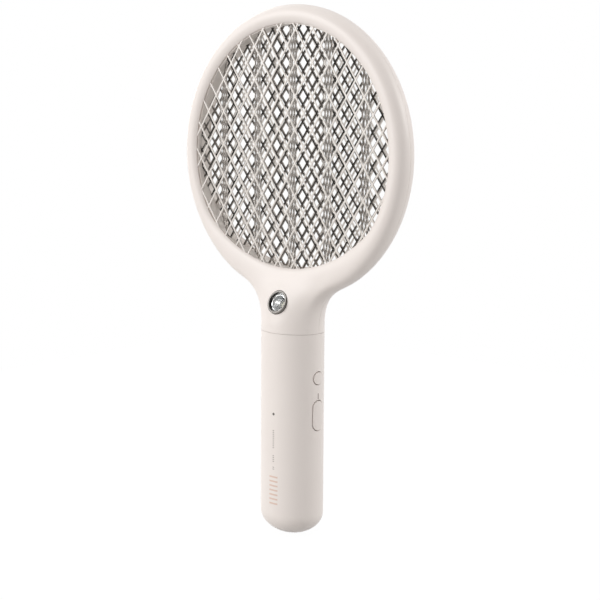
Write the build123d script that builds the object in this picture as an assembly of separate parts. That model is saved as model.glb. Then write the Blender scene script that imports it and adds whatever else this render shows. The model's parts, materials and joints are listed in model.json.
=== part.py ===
from build123d import *
import os
from math import copysign, cos, pi, radians, sin, sqrt

# Electric fly swatter, in millimetres. +Z runs up the handle to the head, the front faces -Y, the buttons
# are on the +X side, and the origin is the lowest point of the handle's domed end, on the handle's axis.

# ---- overall sizes ----
total_height = 300.0
ring_radius = 75.6  # from the head's centre to the middle of the ring's section
ring_half_width = 6.0
ring_half_depth = 7.15
ring_power = 2.3  # 2 is an ellipse, more is squarer
shell_wall = 1.8

handle_half_width = 19.5
handle_half_depth = 16.0
handle_length = 118.4  # up to the seam where the head plugs in
handle_dome = 13.0
handle_wall = 2.0

# ---- neck ----
neck_spread = 22.0  # how much wider the neck is where it runs into the ring
neck_spread_power = 2.6
neck_lean_power = 1.9
neck_tip_half_depth = 3.5
neck_tip_drop = 3.0  # where the neck ends inside the ring, below the opening
neck_floor = 2.0
spigot_length = 12.0
spigot_wall = 1.8
seam_gap = 0.15
neck_screw_x = 13.2
neck_screw_rise = 9.6  # above the seam
neck_screw_seat = 4.6  # where its head stops, behind the parting plane
neck_screw_reach = 7.0  # how far it goes in front of the parting plane
screw_radius = 0.9
screw_head_radius = 2.0
screw_head_height = 1.2
boss_radius = 2.7
pin_seat = 14.6  # where the head of the screw that pins the spigot stops
pin_reach = 6.5

# ---- opening and nets ----
lip_flattening = 9.4  # how much larger the lower edge's radius is than the opening's
lip_rise = 6.1  # how far the lower edge stands above the opening's circle
lip_rounding = 3.0
lip_half_depth = 6.7
net_seat = 5.0  # how far the nets run into the ring
guard_rim = 2.0
guard_stand_off = 0.95  # from the grid's crests to the middle of a guard
guard_thickness = 0.7
guard_strand = 0.75
guard_column = 6.1  # half a diamond's width
guard_cell_height = 18.33
guard_column_shift = -0.6
guard_row_shift = 4.0
grid_depth = 8.3  # crest to trough, at the middle of the sheet
grid_fold_pitch = 13.15  # from a crest to the next trough
grid_first_crest = 5.6
grid_sheet = 0.45
grid_strand = 0.8
grid_columns_per_fold = 6
grid_column_shift = 0.9  # from the first crest to the nearest column of knuckles
grid_rim = 1.25
carrier_inner = 1.2  # how far outside the opening's edge the carriers begin

# ---- light in the neck ----
light_rise = 17.4  # its centre above the seam
light_sink = 0.2544  # its centre behind the neck's outside
light_tilt = 24.0
bezel_radius = 6.8
bezel_rim = 1.3
bezel_depth = 3.6
bezel_proud = 0.5
lens_thickness = 1.6
reflector_depth = 4.4
light_board_radius = 4.6
light_board_thickness = 1.0
chip_radius = 1.5
chip_height = 1.1

# ---- buttons ----
light_button_height = 93.0
light_button_radius = 3.5
zap_button_height = 71.5
zap_button_length = 17.0
zap_button_radius = 3.85
button_proud = 0.35
button_groove = 0.5
button_travel = 0.6
button_flange = 1.2
button_flange_rim = 1.1
button_flange_face = 15.6  # the flange's outer face, from the handle's axis
stem_radius = 2.2
plunger_tip = 13.0
frame_face = 13.4
frame_plate = 1.0
frame_half_width = 8.3
frame_leg = 2.2
frame_margin = 3.0

# ---- inside the handle ----
cell_radius = 9.15
cell_length = 65.0
cell_base = 25.0
cell_axis = -6.4
board_face = 6.3  # the side of the main board that faces the cell
board_thickness = 1.2
board_half_width = 11.0
board_base = 24.0
board_top = 104.0
chassis_plate = 1.8
chassis_rib = 1.6
tab_thickness = 0.3
tab_width = 5.0
tab_length = 10.0
cell_port_radius = 3.2
board_screw_y = 9.0
board_screw_heights = (28.0, 57.0, 88.0)
board_boss_radius = 1.9
board_boss_length = 5.5
transformer_depth = 9.0
transformer_width = 13.0
transformer_height = 9.0
transformer_base = 94.3
transformer_limb = 2.2
transformer_overhang = 1.6
capacitor_base = 42.0
diode_radius = 1.3
switch_side = 6.0
switch_height = 3.5
plunger_radius = 1.7
plunger_length = 3.6
socket_height = 13.4
socket_width = 8.94
socket_thickness = 3.26
socket_depth = 7.3
socket_wall = 0.35
socket_recess = 0.7
charge_board_z = 10.9
charge_board_thickness = 0.8
charge_board_half_width = 6.0
charge_board_front = -4.0
charge_post_xs = (-1.6, 4.2)
charge_post_y = -1.5
charge_post_radius = 1.6
charge_peg_radius = 0.9
indicator_radius = 0.75
indicator_height = 72.0
indicator_clear = 10.5

# ---- wires ----
wire_radius = 0.55
wire_bend = 2.5
guard_lead_x = -9.8
grid_lead_x = -1.0

# ---- clearances ----
fit_gap = 0.15
loose_gap = 0.3
cell_gap = 0.2

head_z = total_height - ring_radius - ring_half_width
opening_radius = ring_radius - ring_half_width
lip_radius = opening_radius + lip_flattening
lip_drop = opening_radius - lip_rise  # lowest edge of the opening, below the head's centre
lip_centre_z = head_z - lip_drop + lip_radius
neck_top = head_z - lip_drop - neck_tip_drop
guard_mid_y = grid_depth / 2 + guard_stand_off
net_slot_half_depth = guard_mid_y + guard_thickness / 2 + 0.1
grid_cell_height = guard_cell_height / 2
board_outer = board_face + board_thickness
light_height = handle_length + light_rise
neck_screw_height = handle_length + neck_screw_rise


# ---- helpers ----
def save(name, *solids):
    """Writes one node. Several solids in one node are the same kind of piece, or one piece's parts."""
    shape = solids[0] if len(solids) == 1 else Compound(children=list(solids))
    shape.label = name
    export_step(shape, f"parts/{name}.step")


def superoval(half_width, half_depth, power):
    """A closed rounded section between an ellipse and a rectangle."""
    points = []
    count = 24
    for index in range(count):
        turn = 2 * pi * index / count
        across = copysign(abs(cos(turn)) ** (2 / power), cos(turn))
        along = copysign(abs(sin(turn)) ** (2 / power), sin(turn))
        points.append((half_width * across, half_depth * along))
    return make_face(Spline(*points, periodic=True))


def ease(t):
    return t * t * (3 - 2 * t)


def column(face, low, high):
    """A flat face on XY, raised from one height to another."""
    return extrude(Pos(0, 0, low) * face, high - low)


def front_plane(y):
    """A plane seen from the front: its X runs right and its Y runs up."""
    return Plane.XZ.offset(-y)


def slab(face, y_low, y_high):
    """A face drawn as seen from the front, thickened from one depth to another."""
    return extrude(front_plane(y_low) * face, -(y_high - y_low))


def side_plane(x):
    """A plane seen from the button side: its X runs back and its Y runs up."""
    return Plane.YZ.offset(x)


def peg(face, x_low, x_high):
    """A face drawn as seen from the button side, thickened from one X to another."""
    return extrude(side_plane(x_low) * face, x_high - x_low)


def box(x_range, y_range, z_range):
    low = (x_range[0], y_range[0], z_range[0])
    sizes = (x_range[1] - x_range[0], y_range[1] - y_range[0], z_range[1] - z_range[0])
    return Pos(*low) * Box(*sizes, align=Align.MIN)


def opening(grow):
    """The head's opening seen from the front, grown outwards: a circle with a flatter lower edge."""
    main = Pos(0, head_z) * Circle(opening_radius + grow)
    lower = Pos(0, lip_centre_z) * Circle(lip_radius + grow)
    return main & lower


def band(outer, inner):
    """The strip between two growths of the opening."""
    return opening(outer) - opening(inner)


# ---- housings ----
def ring_form(inset):
    section = Pos(ring_radius, 0) * superoval(ring_half_width - inset, ring_half_depth - inset, ring_power)
    return Pos(0, 0, head_z) * revolve(section, Axis.Y, 360)


def neck_half_depth(height):
    t = (height - handle_length) / (neck_top - handle_length)
    return handle_half_depth + (neck_tip_half_depth - handle_half_depth) * ease(t**neck_lean_power)


def neck_form(inset):
    sections = []
    steps = 6
    for index in range(steps):
        t = index / (steps - 1)
        height = handle_length + t * (neck_top - handle_length)
        half_width = handle_half_width + neck_spread * t**neck_spread_power - inset
        section = Ellipse(half_width, neck_half_depth(height) - inset)
        sections.append(Pos(0, 0, height) * section)
    return loft(sections)


def lip_form():
    """The thicker lower edge of the opening, rounded where it faces the nets."""
    inner = lip_radius
    deep = lip_half_depth
    soft = lip_rounding
    front_corner = CenterArc((inner + soft, soft - deep), soft, 180, 90)
    back_corner = CenterArc((inner + soft, deep - soft), soft, 90, 90)
    outline = [
        Line((0, -deep), front_corner @ 1),
        front_corner,
        Line(front_corner @ 0, back_corner @ 1),
        back_corner,
        Line(back_corner @ 0, (0, deep)),
        Line((0, deep), (0, -deep)),
    ]
    mouth = Pos(0, 0, lip_centre_z) * revolve(make_face(outline), Axis.Y, 360)
    reach = ring_radius - ring_half_width * 0.3
    plate = slab(Pos(0, head_z) * Circle(reach), -deep, deep)
    return plate - mouth


def neck_bosses(outer):
    """Two screw posts beside the light, cut to the neck's own outside."""
    posts = []
    for side in (-1, 1):
        face = Pos(side * neck_screw_x, neck_screw_height) * Circle(boss_radius)
        posts.append(slab(face, -handle_half_depth, handle_half_depth) & outer)
    return posts


def spigot_ellipse(inset):
    across = handle_half_width - handle_wall - fit_gap - inset
    deep = handle_half_depth - handle_wall - fit_gap - inset
    return Ellipse(across, deep)


def light_plane(depth):
    """A plane across the light's axis, facing out of the neck, at a depth below its face."""
    tilt = radians(light_tilt)
    facing = Vector(0, -cos(tilt), sin(tilt))
    stand_off = neck_half_depth(light_height) - light_sink
    centre = Vector(0, -stand_off, light_height) - facing * depth
    return Plane(origin=centre, x_dir=(1, 0, 0), z_dir=facing)


def disc_at(radius, deep, shallow):
    """A round piece on the light's axis, from one depth below its face up to another."""
    return extrude(light_plane(deep) * Circle(radius), deep - shallow)


def make_shells():
    outer = ring_form(0) + neck_form(0) + lip_form()
    body = outer - ring_form(shell_wall)
    hollow = split(neck_form(shell_wall), Plane.XY.offset(handle_length + neck_floor), Keep.TOP)
    body = body - hollow
    body = body + neck_bosses(outer)
    light_post = disc_at(bezel_radius + shell_wall, bezel_depth + 1, -bezel_depth) & outer
    body = body + light_post
    spigot_base = handle_length - spigot_length
    body = body + column(spigot_ellipse(0), spigot_base, handle_length + neck_floor)
    body = body - column(spigot_ellipse(spigot_wall), spigot_base, handle_length + neck_floor)
    pin_height = handle_length - spigot_length / 2
    pin_post = slab(Pos(0, pin_height) * Circle(boss_radius), pin_reach + 1, handle_half_depth)
    body = body + (pin_post & column(spigot_ellipse(0), spigot_base, handle_length))
    pilot = screw_radius + 0.05
    body = body - slab(Pos(0, pin_height) * Circle(pilot), 0, handle_half_depth)
    body = body - slab(opening(net_seat + fit_gap), -net_slot_half_depth, net_slot_half_depth)
    body = body - disc_at(bezel_radius + fit_gap, bezel_depth + 8, -bezel_depth)
    for side in (-1, 1):
        spot = Pos(side * neck_screw_x, neck_screw_height)
        body = body - slab(spot * Circle(pilot), -neck_screw_reach - 0.5, 0)
        body = body - slab(spot * Circle(screw_radius + fit_gap), 0, neck_screw_seat)
        body = body - slab(spot * Circle(screw_head_radius + fit_gap), neck_screw_seat, handle_half_depth)
    for side in (-1, 1):
        channel = Pos(guard_lead_x, side * guard_mid_y) * Circle(wire_radius + loose_gap)
        body = body - column(channel, light_height, neck_top)
    middle = Plane.XZ
    front = split(body, middle, Keep.TOP)
    rear = split(body, middle, Keep.BOTTOM)
    return front, rear


# ---- nets ----
def lattice_holes(half_cell, cell_height, x_shift, strand, stretch):
    """Diamond holes of an expanded sheet. Stretch is how much longer the sheet is than its front view."""
    half_height = cell_height / 2
    real_half = half_cell * stretch
    edge_distance = real_half * half_height / sqrt(real_half**2 + half_height**2)
    shrink = 1 - strand / 2 / edge_distance
    reach = opening_radius + net_seat + half_cell
    columns = int(reach / half_cell) + 2
    rows = int(reach / cell_height) + 2
    holes = []
    for column_index in range(-columns, columns + 1):
        x = x_shift + column_index * half_cell
        odd = column_index % 2 * half_height
        for row in range(-rows, rows + 1):
            rise = guard_row_shift + half_height + odd + row * cell_height
            if x**2 + rise**2 > (reach + cell_height) ** 2:
                continue
            corners = [(half_cell, 0), (0, half_height), (-half_cell, 0), (0, -half_height)]
            points = [(x + dx * shrink, head_z + rise + dz * shrink) for dx, dz in corners]
            holes.append(make_face(Polyline(*points, close=True)))
    return holes


def make_guard(side):
    holes = lattice_holes(guard_column, guard_cell_height, guard_column_shift, guard_strand, 1)
    inner = net_seat - guard_rim
    net = (opening(inner) - holes) + band(net_seat, inner)
    middle = side * guard_mid_y
    return slab(net, middle - guard_thickness / 2, middle + guard_thickness / 2)


def pleated_slab(thickness):
    """The pleated sheet without its holes: a zigzag seen from above, drawn upwards."""
    half_rise = grid_depth / 2
    slant = sqrt(grid_fold_pitch**2 + grid_depth**2) / grid_fold_pitch
    half_thick = thickness * slant / 2
    reach = opening_radius + net_seat
    folds = int(reach / grid_fold_pitch) + 2
    near = []
    far = []
    for index in range(-folds, folds + 1):
        x = grid_first_crest + index * grid_fold_pitch
        y = half_rise if index % 2 else -half_rise
        near.append((x, y - half_thick))
        far.append((x, y + half_thick))
    outline = make_face(Polyline(*near, *reversed(far), close=True))
    return column(outline, head_z - reach, head_z + reach)


def make_grid():
    half_cell = grid_fold_pitch / grid_columns_per_fold
    slant = sqrt(grid_fold_pitch**2 + grid_depth**2) / grid_fold_pitch
    first_column = grid_first_crest + grid_column_shift
    holes = lattice_holes(half_cell, grid_cell_height, first_column, grid_strand, slant)
    rim = net_seat - 2 * fit_gap
    net = (opening(rim - grid_rim) - holes) + band(rim, rim - grid_rim)
    return pleated_slab(grid_sheet) & slab(net, -grid_depth, grid_depth)


def make_carriers():
    """Two insulating rings whose wavy faces clamp the pleated sheet's edge."""
    half_depth = guard_mid_y - guard_thickness / 2 - 0.05
    ring = slab(band(net_seat, carrier_inner), -half_depth, half_depth)
    halves = ring - pleated_slab(grid_sheet + fit_gap)
    ordered = sorted(halves.solids(), key=lambda solid: solid.center().Y)
    middle = len(ordered) // 2
    return ordered[:middle], ordered[middle:]


# ---- light ----
def make_light():
    """Returns the bezel, lens, reflector, light chip and its round board, stacked on the light's axis."""
    bore = bezel_radius - bezel_rim
    shoulder = lens_thickness
    bezel = disc_at(bezel_radius, bezel_depth, -bezel_proud) - disc_at(bore, shoulder, -bezel_proud)
    bezel = bezel - disc_at(bore - 0.8, bezel_depth, shoulder)
    bezel = chamfer(bezel.edges().group_by(Axis(light_plane(0).origin, light_plane(0).z_dir))[-1], 0.25)
    lens_radius = bore - 0.05
    dome_height = lens_thickness * 0.4
    dome_sphere = (lens_radius**2 + dome_height**2) / (2 * dome_height)
    flat = disc_at(lens_radius, shoulder, shoulder - lens_thickness * 0.6)
    ball_depth = shoulder - lens_thickness * 0.6 + dome_sphere - dome_height
    ball = Pos(*light_plane(ball_depth).origin) * Sphere(dome_sphere)
    lens = flat + (ball & disc_at(lens_radius, shoulder - lens_thickness * 0.6, -lens_thickness))
    cup_top = shoulder + 0.05
    cup_base = cup_top + reflector_depth
    cup_radius = bore - 0.8 - 0.05
    cup = disc_at(cup_radius, cup_base, cup_top)
    wide = light_plane(cup_top) * Circle(cup_radius - 0.5)
    narrow = light_plane(cup_base) * Circle(chip_radius + 0.3)
    reflector = cup - loft([narrow, wide])
    chip = disc_at(chip_radius, cup_base, cup_base - chip_height)
    board = disc_at(light_board_radius, cup_base + light_board_thickness, cup_base)
    return bezel, lens, reflector, chip, board


# ---- handle and buttons ----
def handle_form(inset, top):
    """The oval handle with its domed end, shrunk by an inset."""
    across = handle_half_width - inset
    deep = handle_half_depth - inset
    barrel = column(Ellipse(across, deep), handle_dome, top)
    ball = scale(Sphere(1), (across, deep, handle_dome - inset))
    dome = split(ball, Plane.XY, Keep.BOTTOM)
    return barrel + Pos(0, 0, handle_dome) * dome


def obround(length, radius):
    """A long button's outline, upright."""
    return Rot(0, 0, 90) * SlotOverall(length, radius * 2)


def light_button_face(grow):
    return Pos(0, light_button_height) * Circle(light_button_radius + grow)


def zap_button_face(grow):
    outline = obround(zap_button_length + 2 * grow, zap_button_radius + grow)
    return Pos(0, zap_button_height) * outline


def socket_face(grow):
    outline = SlotOverall(socket_width + 2 * grow, socket_thickness + 2 * grow)
    return Pos(0, socket_height) * outline


def make_handle():
    body = handle_form(0, handle_length - seam_gap) - handle_form(handle_wall, handle_length + 1)
    wall_side = board_outer
    body = body - peg(light_button_face(button_groove), wall_side, handle_half_width + 1)
    body = body - peg(zap_button_face(button_groove), wall_side, handle_half_width + 1)
    body = body - slab(socket_face(fit_gap), 0, handle_half_depth + 1)
    indicator = Pos(0, indicator_height) * Circle(indicator_radius + 0.05)
    body = body - slab(indicator, -handle_half_depth - 1, 0)
    pin_height = handle_length - spigot_length / 2
    pin = Pos(0, pin_height)
    body = body - slab(pin * Circle(screw_radius + fit_gap), 0, handle_half_depth)
    body = body - slab(pin * Circle(screw_head_radius + fit_gap), pin_seat, handle_half_depth + 1)
    return body


def make_button(face):
    """The cap fills its window in the handle and has a flange behind the wall and a stem to its switch."""
    skin = Ellipse(handle_half_width + button_proud, handle_half_depth + button_proud)
    cap = peg(face(0), button_flange_face, handle_half_width + 2)
    cap = cap & column(skin, 0, handle_length)
    flange_low = button_flange_face - button_flange
    flange = peg(face(button_groove + button_flange_rim), flange_low, button_flange_face)
    centre = face(0).center()
    stem = peg(Pos(centre.X, centre.Y) * Circle(stem_radius), plunger_tip, flange_low)
    return cap + flange + stem


def make_button_frame():
    """A plate with two guide holes on four legs that stand on the main board."""
    low = light_button_height + light_button_radius + frame_margin
    base = zap_button_height - zap_button_length / 2 - frame_margin
    plate = box((frame_face - frame_plate, frame_face), (-frame_half_width, frame_half_width), (base, low))
    for height in (light_button_height, zap_button_height):
        spot = Pos(0, height) * Circle(stem_radius + loose_gap)
        plate = plate - peg(spot, board_outer, frame_face)
    legs = []
    for side in (-1, 1):
        for height in (base, low - frame_leg):
            edge = side * (frame_half_width - frame_leg / 2)
            y_range = (edge - frame_leg / 2, edge + frame_leg / 2)
            legs.append(box((board_outer, frame_face - frame_plate), y_range, (height, height + frame_leg)))
    return plate + legs


def make_switch(height):
    """A tact switch on the main board, and the plunger that its button pushes."""
    half = switch_side / 2
    top = board_outer + switch_height
    body = box((board_outer, top), (-half, half), (height - half, height + half))
    well = Pos(0, height) * Circle(plunger_radius + 0.05)
    floor = plunger_tip - plunger_length - button_travel - 0.2
    body = body - peg(well, floor, top)
    plunger = peg(Pos(0, height) * Circle(plunger_radius), plunger_tip - plunger_length, plunger_tip)
    return body, plunger


def make_indicator():
    """The light pipe in the handle's front wall and the chip behind it."""
    skin = column(Ellipse(handle_half_width, handle_half_depth), 0, handle_length)
    spot = Pos(0, indicator_height)
    inner = handle_half_depth - handle_wall
    pipe = slab(spot * Circle(indicator_radius), -handle_half_depth, -inner + 1) & skin
    flange = slab(spot * Circle(indicator_radius * 2), -inner + 0.2, -inner + 1)
    chip_front = -inner + 1
    chip = box((-0.8, 0.8), (chip_front, chip_front + 0.8), (indicator_height - 1.6, indicator_height + 1.6))
    return pipe + flange, chip


# ---- inside the handle ----
def make_chassis():
    """A moulded sled: a spine that carries the main board, and ribs that cradle the cell."""
    inner = Ellipse(handle_half_width - handle_wall - loose_gap, handle_half_depth - handle_wall - loose_gap)
    wide = handle_half_width
    cell = Pos(cell_axis, 0) * Circle(cell_radius + cell_gap)
    low = cell_base - tab_thickness - 0.1
    high = cell_base + cell_length + tab_thickness + 0.1
    behind_board = Pos(board_face - wide, 0) * Rectangle(2 * wide, 2 * wide)
    rib = inner & behind_board
    spine_face = Pos(board_face - chassis_plate / 2, 0) * Rectangle(chassis_plate, 2 * wide)
    sled = column(inner & spine_face, low - chassis_rib, high + chassis_rib)
    port = Pos(cell_axis, 0) * Circle(cell_port_radius)
    sled = sled + column(rib - port, low - chassis_rib, low)
    sled = sled + column(rib - port, high, high + chassis_rib)
    cradles = 3
    for index in range(cradles):
        height = cell_base + cell_length * (index + 0.5) / cradles
        sled = sled + column(rib - cell, height - chassis_rib / 2, height + chassis_rib / 2)
    pilot = screw_radius + 0.05
    for side in (-1, 1):
        for height in board_screw_heights:
            spot = Pos(side * board_screw_y, height)
            sled = sled + peg(spot * Circle(board_boss_radius), board_face - board_boss_length, board_face)
            sled = sled - peg(spot * Circle(pilot), board_face - board_boss_length, board_face)
    board_floor = charge_board_z + charge_board_thickness
    for x in charge_post_xs:
        post = Pos(x, charge_post_y)
        sled = sled + column(post * Circle(charge_post_radius), board_floor, low)
        sled = sled + column(post * Circle(charge_peg_radius), charge_board_z - 0.4, low)
    light_way = (indicator_height - 3, indicator_height + 3)
    return sled - box((-2, 2), (-handle_half_depth, -indicator_clear), light_way)


def make_cell():
    cell = column(Pos(cell_axis, 0) * Circle(cell_radius), cell_base, cell_base + cell_length)
    cell = fillet(cell.edges().filter_by(GeomType.CIRCLE), 0.8)
    tabs = []
    for height in (cell_base - tab_thickness, cell_base + cell_length):
        strip = Pos(cell_axis, 0) * Rectangle(tab_width, tab_length)
        tabs.append(column(strip, height, height + tab_thickness))
    return cell, tabs


def board_screw_spots():
    return [(side * board_screw_y, height) for side in (-1, 1) for height in board_screw_heights]


def make_main_board():
    half = board_half_width
    board = box((board_face, board_outer), (-half, half), (board_base, board_top))
    for y, height in board_screw_spots():
        board = board - peg(Pos(y, height) * Circle(screw_radius + fit_gap), board_face, board_outer)
    return board


def make_screw(base, direction, shank_length):
    """A pan-head screw. The base is under its head, and the direction points out of the head."""
    seat = Plane(origin=base, z_dir=direction)
    head = extrude(seat * Circle(screw_head_radius), screw_head_height)
    head = fillet(head.edges().filter_by(GeomType.CIRCLE).sort_by(Axis(base, direction))[-1], 0.5)
    cross = Rectangle(2.4, 0.5) + Rectangle(0.5, 2.4)
    head = head - extrude(seat.offset(screw_head_height - 0.6) * cross, 1)
    shank = extrude(seat * Circle(screw_radius), -shank_length)
    return head + shank


def make_screws():
    """Returns the neck screws, the spigot pin and the main board's screws."""
    neck = []
    for side in (-1, 1):
        base = (side * neck_screw_x, neck_screw_seat, neck_screw_height)
        neck.append(make_screw(base, (0, 1, 0), neck_screw_seat + neck_screw_reach))
    pin_base = (0, pin_seat, handle_length - spigot_length / 2)
    pin = make_screw(pin_base, (0, 1, 0), pin_seat - pin_reach - 0.5)
    board = []
    for y, height in board_screw_spots():
        board.append(make_screw((board_outer, y, height), (1, 0, 0), board_thickness + board_boss_length - 1))
    return neck, pin, board


def make_transformer():
    """An E-core around a wound bobbin, on the cell side of the main board above the cell."""
    deep = transformer_depth
    half = transformer_width / 2
    low = transformer_base
    high = low + transformer_height
    whole = (board_face - deep, board_face)
    middle = (whole[0] + transformer_overhang, whole[1] - transformer_overhang)
    core = box(middle, (-half, half), (low, high))
    window = transformer_limb
    core = core - box(middle, (-half + window, half - window), (low + window, high - window))
    limb_half = window / 2
    core = core + box(middle, (-limb_half, limb_half), (low, high))
    winding_heights = (low + window + 0.05, high - window - 0.05)
    outer_half = half - window - fit_gap
    winding = box(whole, (-outer_half, outer_half), winding_heights)
    bore = (middle[0] - 0.05, middle[1] + 0.05)
    winding = winding - box(bore, (-limb_half - 0.05, limb_half + 0.05), winding_heights)
    return core, winding


def make_board_parts():
    """Returns the high-voltage capacitor, the rectifier diodes, the power transistor and the controller."""
    low = capacitor_base
    capacitor = box((board_outer, board_outer + 6), (-6, 6), (low, low + 10))
    capacitor = fillet(capacitor.edges().filter_by(Axis.Z), 1)
    diodes = []
    for index in range(3):
        centre = (board_outer + diode_radius, 0, low - 3 - index * 3.4)
        diodes.append(Pos(*centre) * Rot(90, 0, 0) * Cylinder(diode_radius, 5))
    across = -board_half_width + 3.5
    body = Pos(board_outer + 2.3, across, low + 4) * Cylinder(2.3, 4.6)
    transistor = body - box((board_outer, board_outer + 6), (across + 1.3, across + 4), (low, low + 8))
    controller_base = zap_button_height + 12
    controller = box((board_outer, board_outer + 1.2), (-2.5, 2.5), (controller_base, controller_base + 4))
    return capacitor, diodes, transistor, controller


def make_charging():
    """Returns the socket's metal shell, its tongue and the small board that it is soldered to."""
    mouth = handle_half_depth - socket_recess
    back = mouth - socket_depth
    shell = slab(socket_face(0), back, mouth) - slab(socket_face(-socket_wall), back + socket_wall, mouth)
    tongue_half = socket_width / 2 - 1.1
    tongue_heights = (socket_height - 0.35, socket_height + 0.35)
    tongue = box((-tongue_half, tongue_half), (back + socket_wall, mouth - 0.8), tongue_heights)
    half = charge_board_half_width
    z_range = (charge_board_z, charge_board_z + charge_board_thickness)
    board = box((-half, half), (charge_board_front, mouth - 3.2), z_range)
    for x in charge_post_xs:
        hole = Pos(x, charge_post_y) * Circle(charge_peg_radius + 0.05)
        board = board - column(hole, *z_range)
    return shell, tongue, board


# ---- wires ----
def wire(*points):
    """A round wire: straight runs joined by arcs."""
    path = FilletPolyline(*points, radius=wire_bend)
    start = Plane(origin=path @ 0, z_dir=path % 0)
    return sweep(start * Circle(wire_radius), path)


def make_head_leads():
    """Wires that rise from the transformer and the main board through the spigot into the head."""
    start = transformer_base + transformer_height + 0.15
    bend = handle_length - spigot_length / 2
    waist = neck_screw_height
    top = head_z - lip_drop - net_seat - 0.15
    crossing = light_height + 3
    grid = wire(
        (1.5, 4.5, start),
        (1.5, 4.5, waist),
        (grid_lead_x, 0, crossing),
        (grid_lead_x, 0, top),
    )
    guards = []
    for side in (-1, 1):
        deep = side * guard_mid_y
        guards.append(
            wire(
                (-1.5, side * 3, start),
                (-1.5, side * 3, bend),
                (-5.5, side * 4, waist),
                (guard_lead_x, deep, light_height),
                (guard_lead_x, deep, top),
            )
        )
    back = light_plane(lens_thickness + reflector_depth + light_board_thickness + 0.1)
    behind = light_plane(lens_thickness + reflector_depth + light_board_thickness + 4)
    light = []
    for index in range(2):
        x = 1.2 + index * 1.5
        y = -8.5 + index * 2
        light.append(
            wire(
                (board_face + board_thickness / 2, y, board_top + 0.05),
                (board_face + board_thickness / 2, y, board_top + 5),
                (x, -1.8, waist - 3),
                (x, behind.origin.Y, behind.origin.Z),
                (x, back.origin.Y, back.origin.Z),
            )
        )
    return grid, guards, light


def make_battery_leads():
    """The cell's two wires and the charging wire, all to the main board."""
    top = cell_base + cell_length + tab_thickness + 0.05
    low = cell_base - tab_thickness - 0.05
    edge = board_base - 0.05
    middle = board_face + board_thickness / 2
    red = wire(
        (cell_axis, -2, top),
        (cell_axis, -2, top + 4),
        (-3, -8.6, transformer_base + 3),
        (board_face - 0.05, -8.6, transformer_base + 3),
    )
    black = wire(
        (cell_axis, -2, low),
        (cell_axis, -2, low - 5),
        (0, -7, low - 7.5),
        (middle, -8, low - 5),
        (middle, -8, edge),
    )
    board_top_face = charge_board_z + charge_board_thickness
    charge = wire(
        (1.3, -3.2, board_top_face + 0.05),
        (1.3, -3.2, board_top_face + 2.8),
        (middle, -5, edge - 5),
        (middle, -5, edge),
    )
    return red, black, charge


# ---- every node ----
os.makedirs("parts", exist_ok=True)

front_shell, rear_shell = make_shells()
save("front_shell", front_shell)
save("rear_shell", rear_shell)
save("front_guard", make_guard(-1))
save("rear_guard", make_guard(1))
save("hv_grid", make_grid())
front_carrier, rear_carrier = make_carriers()
save("front_grid_carrier", *front_carrier)
save("rear_grid_carrier", *rear_carrier)

light_names = ("light_bezel", "light_lens", "light_reflector", "light_chip", "light_board")
for name, piece in zip(light_names, make_light()):
    save(name, piece)

neck_screws, spigot_screw, board_screws = make_screws()
save("neck_screws", *neck_screws)
save("spigot_screw", spigot_screw)
save("board_screws", *board_screws)

save("handle_tube", make_handle())
save("light_button", make_button(light_button_face))
save("zap_button", make_button(zap_button_face))
save("button_frame", make_button_frame())
for name, height in (("light_switch", light_button_height), ("zap_switch", zap_button_height)):
    switch, plunger = make_switch(height)
    save(name, switch)
    save(f"{name}_plunger", plunger)
indicator_lens, indicator_chip = make_indicator()
save("indicator_lens", indicator_lens)
save("indicator_chip", indicator_chip)

save("chassis", make_chassis())
battery_cell, battery_tabs = make_cell()
save("battery_cell", battery_cell)
save("battery_tabs", *battery_tabs)
save("main_board", make_main_board())
transformer_core, transformer_winding = make_transformer()
save("transformer_core", transformer_core)
save("transformer_winding", transformer_winding)
capacitor, diodes, transistor, controller = make_board_parts()
save("high_voltage_capacitor", capacitor)
save("rectifier_diodes", *diodes)
save("power_transistor", transistor)
save("controller_chip", controller)
charging_socket, socket_tongue, charge_board = make_charging()
save("charging_socket", charging_socket)
save("socket_tongue", socket_tongue)
save("charge_board", charge_board)

grid_lead, guard_leads, light_leads = make_head_leads()
save("grid_lead", grid_lead)
save("guard_leads", *guard_leads)
save("light_leads", *light_leads)
for name, lead in zip(("battery_lead_red", "battery_lead_black", "charge_lead"), make_battery_leads()):
    save(name, lead)
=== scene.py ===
# %% [markdown]
# # An electric fly swatter, in cream moulded plastic
#
# The swatter is a round head on an oval handle. Its hoop and neck are one pair of moulded shells
# that close round three nets: a guard in front, a pleated live grid in the middle, and a guard
# behind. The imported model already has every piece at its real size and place. This notebook gives
# each of them its finish, and models again what construction solids do badly: the smooth skin
# that flows from the hoop into the neck. It also turns the screws that show, deepens the strands
# of the live grid and prints the marks on the handle.
#
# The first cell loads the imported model. Every object comes in with its place in its mesh, in
# metres.

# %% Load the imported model
import json
from math import atan2, cos, degrees, hypot, pi, radians, sin, sqrt

import bmesh
import bpy
from mathutils import Matrix, Vector


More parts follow.
